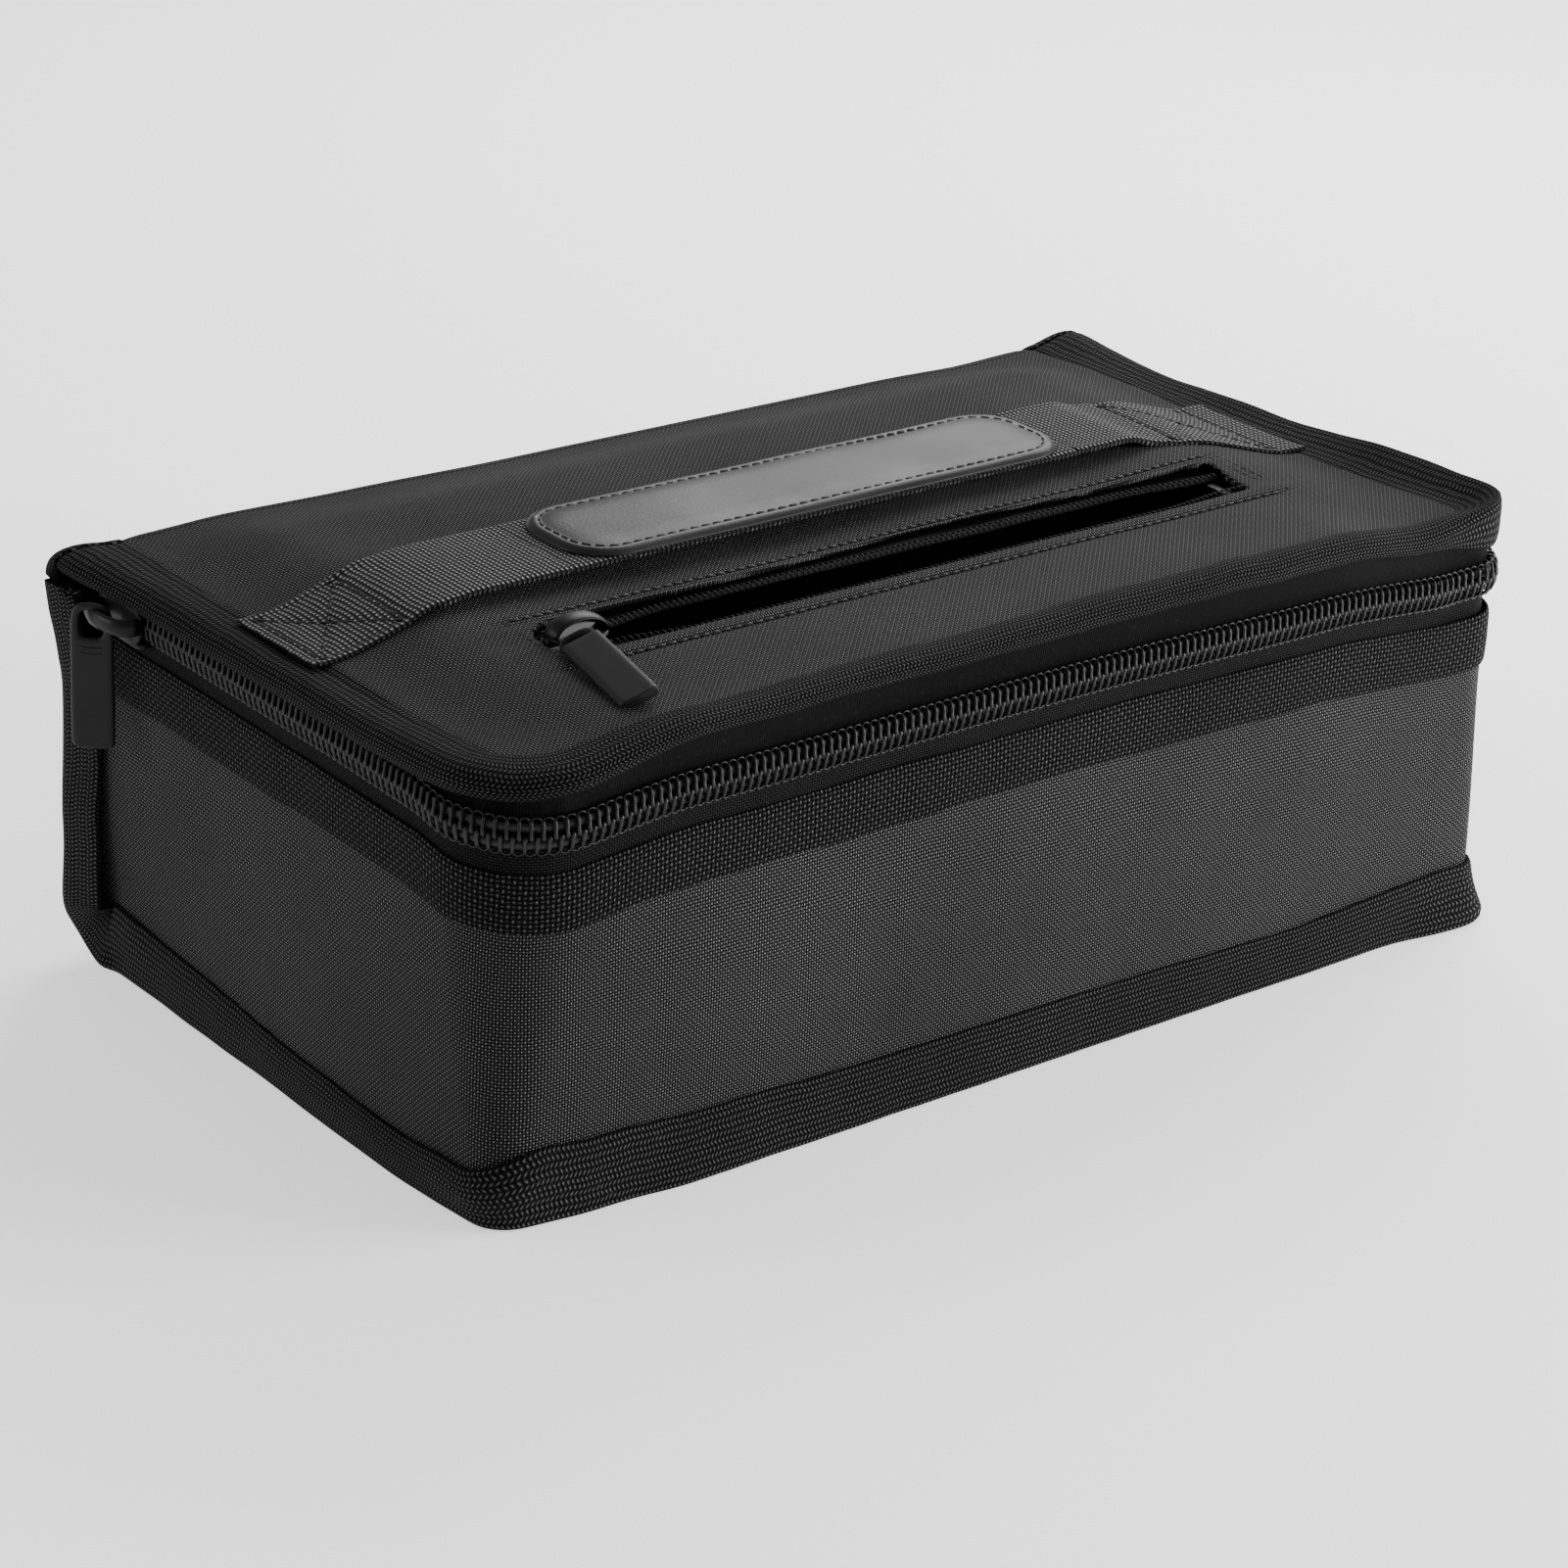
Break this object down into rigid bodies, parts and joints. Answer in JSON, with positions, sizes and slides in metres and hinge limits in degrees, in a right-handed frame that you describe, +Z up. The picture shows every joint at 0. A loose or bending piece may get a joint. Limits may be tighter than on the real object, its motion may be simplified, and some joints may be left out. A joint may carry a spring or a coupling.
{
  "type": "lipo safe bag",
  "caption": "Padded rectangular battery bag with a zip-round hinged lid, webbing carry strap with leather grip, bound edges and a zipped pocket in the lid.",
  "frame": {"origin": "middle of the face that the bag stands on", "axes": "+X along the bag's length, +Y to the hinge side at the rear, +Z up"},
  "size_m": [0.2966, 0.164, 0.1072],
  "materials": {
    "oxford_cloth": "woven, matt",
    "foam": "foam, matt",
    "fire_lining": "coated glass-fibre cloth, matt",
    "band_twill": "coarse twill, matt",
    "binding_tape": "herringbone twill, matt",
    "zip_tape": "fine weave, matt",
    "zip_coil": "gloss",
    "black_metal": "gloss black",
    "satin_metal": "satin black",
    "webbing": "ribbed webbing, matt",
    "grip_leather": "semi-gloss",
    "thread": "twisted thread"
  },
  "bodies": {
    "case": {"wall_fabric": "oxford_cloth", "wall_padding": "foam", "wall_lining": "fire_lining", "wall_band": "band_twill", "back_base_fabric": "oxford_cloth", "back_base_padding": "foam", "back_base_lining": "fire_lining", "base_binding": "binding_tape", "rear_binding_left": "binding_tape", "rear_binding_right": "binding_tape", "zip_tape_lower": "zip_tape", "zip_coil_lower": "zip_coil", "top_stop_lower": "black_metal", "bottom_stop": "black_metal"},
    "lid": {"lid_fabric": "oxford_cloth", "lid_padding": "foam", "lid_lining": "fire_lining", "lid_binding": "binding_tape", "hinge_fold": "oxford_cloth", "binding_fold_left": "binding_tape", "binding_fold_right": "binding_tape", "zip_tape_upper": "zip_tape", "zip_coil_upper": "zip_coil", "top_stop_upper": "black_metal", "pocket_pouch": "fire_lining", "pocket_tape_front": "zip_tape", "pocket_tape_rear": "zip_tape", "pocket_coil_front": "zip_coil", "pocket_coil_rear": "zip_coil", "pocket_stop": "black_metal", "pocket_stitch": "thread", "strap_anchor_left": "webbing", "strap_anchor_right": "webbing", "strap_stitch_left": "thread", "strap_stitch_right": "thread", "strap_ramp_left": "webbing", "strap_ramp_right": "webbing"},
    "handle": {"strap_centre": "webbing", "grip": "grip_leather", "grip_stitch": "thread"},
    "main_slider": {"main_slider": "black_metal"},
    "main_puller": {"main_puller": "satin_metal"},
    "pocket_slider": {"pocket_slider": "black_metal"},
    "pocket_puller": {"pocket_puller": "satin_metal"}
  },
  "joints": [
    {"name": "lid_hinge", "type": "hinge", "parent": "case", "child": "lid", "pos_m": [0, 0.08, 0.0952], "axis": [-1, 0, 0], "range_deg": [0, 200], "deforming": ["hinge_fold", "binding_fold_left", "binding_fold_right"]},
    {"name": "handle_lift", "type": "slide", "parent": "lid", "child": "handle", "axis": [0, 0, 1], "range_m": [0, 0.018], "deforming": ["strap_ramp_left", "strap_ramp_right"]},
    {"name": "main_zip", "type": "slide", "parent": "case", "child": "main_slider", "axis": [0, -1, 0], "range_m": [0, 0.1]},
    {"name": "main_puller_swing", "type": "hinge", "parent": "main_slider", "child": "main_puller", "pos_m": [-0.1485, 0.054, 0.086], "axis": [0, 1, 0], "range_deg": [0, 110]},
    {"name": "pocket_zip", "type": "slide", "parent": "lid", "child": "pocket_slider", "axis": [1, 0, 0], "range_m": [0, 0.166]},
    {"name": "pocket_puller_swivel", "type": "hinge", "parent": "pocket_slider", "child": "pocket_puller", "pos_m": [-0.0881, -0.031, 0.103], "axis": [0, 0, 1], "range_deg": [-80, 60]}
  ]
}
